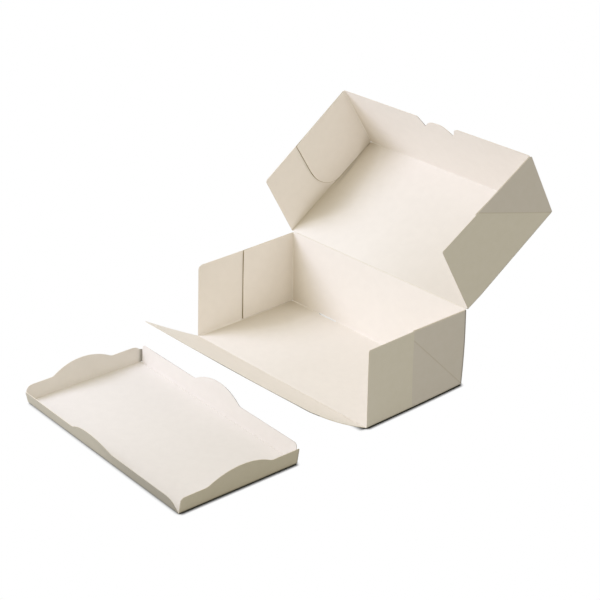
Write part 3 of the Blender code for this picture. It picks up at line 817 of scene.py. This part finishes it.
def makeTrayFloor(size):
    # A flat grid, in even steps from corner to corner
    x = np.linspace(-size["halfLength"], size["halfLength"], 83)[None, :]
    y = np.linspace(-size["halfDepth"], size["halfDepth"], 45)[:, None]
    grid = trayToWorld(x + 0 * y, y + 0 * x, halfBoard + 0 * (x + y))
    piece = boardSheet("trayFloor", grid, True, ("start", "end", "left", "right"), blank="tray")
    return place(piece, "tray", "tray_floor")


makeTrayFloor(tray)
for wallName, wallSettings in trayWalls.items():
    makeTrayWall(wallName, wallSettings, tray)
print("tray made")


# Floor, light and camera

studio = {
    "floorColour": "#AEADAA",
    "floorHalf": 6.0,           # half the floor's side, m
    "floorDrop": 0.9,           # the floor lies this far below the box, clear of the panels laid flat, mm
    "contactReach": 5.0,        # how far the thin contact shadow reaches, mm
    "contactLean": (-0.6, -0.35, 0.72),     # gathered from the left, so the shadow falls to the right
    "contactRange": (0.36, 0.9),        # open share of the sky where the shadow is full, and gone
    "contactColour": "#1E1C12",
    "worldStrength": 0.7,
    "worldColour": "#FFFBEA",   # light thrown back by warm surroundings
    "aim": (0.0, -0.06, 0.06),  # where the lamps point, m
    "lamps": {
        # azimuth from the front towards the right, elevation, distance m, size m, watts, colour
        "window": (-45.0, 35.0, 0.8, 0.4, 3.5, "#DCE4FF"),
        "lowFill": (-30.0, 20.0, 1.3, 0.6, 1.05, "#F4F2F8"),
    },
}


def makeFloor(look):
    # Camera and reflections see white with a thin contact shadow. Other rays see a pale diffuse floor.
    mesh = bpy.data.meshes.new("studioFloor")
    half, level = look["floorHalf"], -look["floorDrop"] * mm
    mesh.from_pydata([(-half, -half, level), (half, -half, level), (half, half, level),
                      (-half, half, level)], [], [(0, 1, 2, 3)])
    floor = bpy.data.objects.new("studioFloor", mesh)
    bpy.context.scene.collection.objects.link(floor)
    material, tree = newTree("white paper sweep")
    rays = addNode(tree, "ShaderNodeLightPath")
    seen = addNode(tree, "ShaderNodeMath", {"operation": "MAXIMUM"},
                   {0: rays.outputs["Is Camera Ray"], 1: rays.outputs["Is Glossy Ray"]})
    seen = addNode(tree, "ShaderNodeMath", {"operation": "MAXIMUM"},
                   {0: seen.outputs[0], 1: rays.outputs["Is Transmission Ray"]})
    x, y, z = look["contactLean"]
    lean = addNode(tree, "ShaderNodeCombineXYZ", {"X": x, "Y": y, "Z": z})
    contact = addNode(tree, "ShaderNodeAmbientOcclusion",
                      {"samples": 16, "Distance": look["contactReach"] * mm},
                      {"Normal": lean.outputs[0]})
    full, gone = look["contactRange"]
    share = addNode(tree, "ShaderNodeMapRange", {"interpolation_type": "SMOOTHSTEP", 1: full, 2: gone},
                    {0: contact.outputs["AO"]})
    tint = addNode(tree, "ShaderNodeMix",
                   {"data_type": "RGBA", 6: linear(look["contactColour"]), 7: (1, 1, 1, 1)},
                   {0: share.outputs[0]})
    glow = addNode(tree, "ShaderNodeEmission", {"Strength": 1.0}, {"Color": tint.outputs[2]})
    matt = addNode(tree, "ShaderNodeBsdfDiffuse", {"Color": linear(look["floorColour"])})
    both = addNode(tree, "ShaderNodeMixShader", {},
                   {0: seen.outputs[0], 1: matt.outputs[0], 2: glow.outputs[0]})
    addNode(tree, "ShaderNodeOutputMaterial", {}, {"Surface": both.outputs[0]})
    mesh.materials.append(material)


def makeWorld(look):
    # The camera sees white. Other rays see the warm ambient light.
    world = bpy.data.worlds.new("softStudio")
    bpy.context.scene.world = world
    world.use_nodes = True
    tree = world.node_tree
    tree.nodes.clear()
    rays = addNode(tree, "ShaderNodeLightPath")
    ambient = addNode(tree, "ShaderNodeBackground",
                      {"Color": linear(look["worldColour"]), "Strength": look["worldStrength"]})
    white = addNode(tree, "ShaderNodeBackground", {"Color": (1, 1, 1, 1), "Strength": 1.0})
    both = addNode(tree, "ShaderNodeMixShader", {}, {0: rays.outputs["Is Camera Ray"], 1: ambient.outputs[0],
                                                     2: white.outputs[0]})
    addNode(tree, "ShaderNodeOutputWorld", {}, {"Surface": both.outputs[0]})


def makeLamp(name, azimuth, elevation, distance, size, power, colour, aim):
    # The lamp sits at distance * (sin az cos el, -cos az cos el, sin el) from its aim and faces it
    light = bpy.data.lights.new(name, "AREA")
    light.shape, light.size, light.energy = "DISK", size, power
    light.color = linear(colour)[:3]
    lamp = bpy.data.objects.new(name, light)
    a, e = math.radians(azimuth), math.radians(elevation)
    back = np.array([math.sin(a) * math.cos(e), -math.cos(a) * math.cos(e), math.sin(e)])
    turnTo(lamp, np.array(aim) + back * distance, back, 0.0)
    bpy.context.scene.collection.objects.link(lamp)


def turnTo(item, position, back, roll):
    # Looks along minus back: right is level, up is back x right, both turned by the roll
    right = unit(np.cross([0.0, 0.0, 1.0], back)) if abs(back[2]) < 0.999 else np.array([1.0, 0.0, 0.0])
    up = np.cross(back, right)
    r = math.radians(roll)
    right, up = right * math.cos(r) + up * math.sin(r), up * math.cos(r) - right * math.sin(r)
    matrix = np.eye(4)
    matrix[:3, 0], matrix[:3, 1], matrix[:3, 2], matrix[:3, 3] = right, up, back, position
    item.matrix_world = Matrix(matrix.tolist())


# Fitted to corners of the box: mm and degrees
view = {
    "azimuth": 47.581,
    "elevation": 25.602,
    "roll": 0.791,
    "target": (-27.688, -11.511, 60.0),
    "distance": 1554.587,
    "focal": 1553.062 / 600 * 36,       # for a 36 mm sensor
}


def makeCamera(look):
    # At distance * (sin az cos el, -cos az cos el, sin el) from the target
    data = bpy.data.cameras.new("photoCamera")
    camera = bpy.data.objects.new("photoCamera", data)
    bpy.context.scene.collection.objects.link(camera)
    data.sensor_width, data.sensor_fit, data.lens = 36.0, "HORIZONTAL", look["focal"]
    data.clip_start, data.clip_end = 0.05, 50.0
    a, e = math.radians(look["azimuth"]), math.radians(look["elevation"])
    back = np.array([math.sin(a) * math.cos(e), -math.cos(a) * math.cos(e), math.sin(e)])
    turnTo(camera, (np.array(look["target"]) + back * look["distance"]) * mm, back, look["roll"])
    bpy.context.scene.camera = camera


makeFloor(studio)
makeWorld(studio)
for lampName, lampSettings in studio["lamps"].items():
    makeLamp(lampName, *lampSettings, studio["aim"])
makeCamera(view)
bpy.context.scene.view_settings.view_transform = "Standard"
print("studio made")

bpy.context.view_layer.update()
